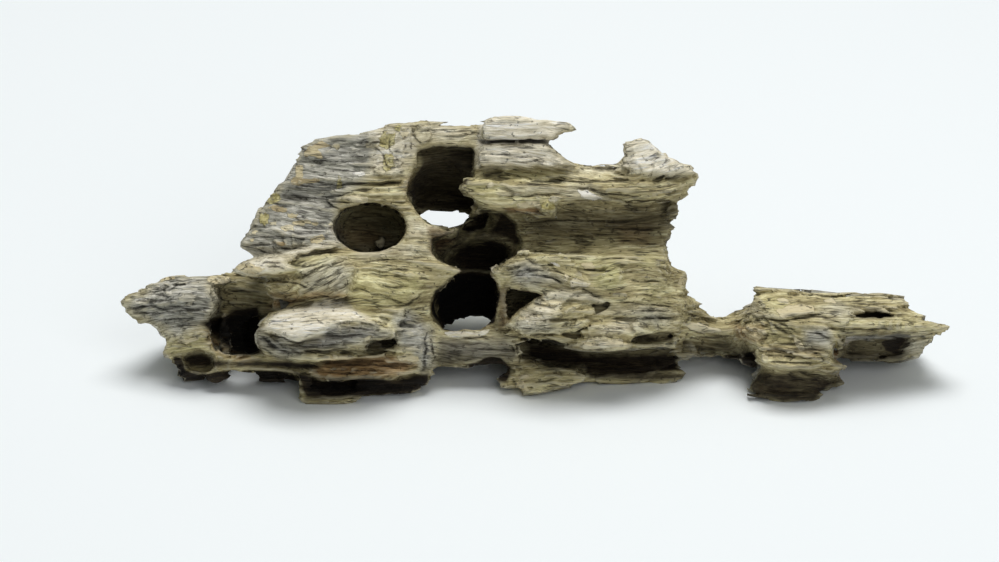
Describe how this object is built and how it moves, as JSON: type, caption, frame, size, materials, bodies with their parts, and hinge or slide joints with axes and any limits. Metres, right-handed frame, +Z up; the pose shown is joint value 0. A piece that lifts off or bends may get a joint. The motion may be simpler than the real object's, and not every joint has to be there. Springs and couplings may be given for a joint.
{
  "type": "honeycomb wood",
  "caption": "Weathered driftwood trunk bored through by wide round tunnels, with layered ledges, low feet and a knob on a thin bridge at one end",
  "frame": {"origin": "middle of the bounding box in plan, at the floor the wood stands on", "axes": "+Z up, +X along the wood towards the knob, -Y towards the side with the open tunnels"},
  "size_m": [0.2278, 0.0738, 0.0707],
  "materials": {
    "weathered_wood": "dry weathered wood, olive brown to grey with yellow-tan flakes, dark in the tunnels"
  },
  "bodies": {
    "root": {"honeycomb_wood": "weathered_wood"}
  },
  "joints": []
}
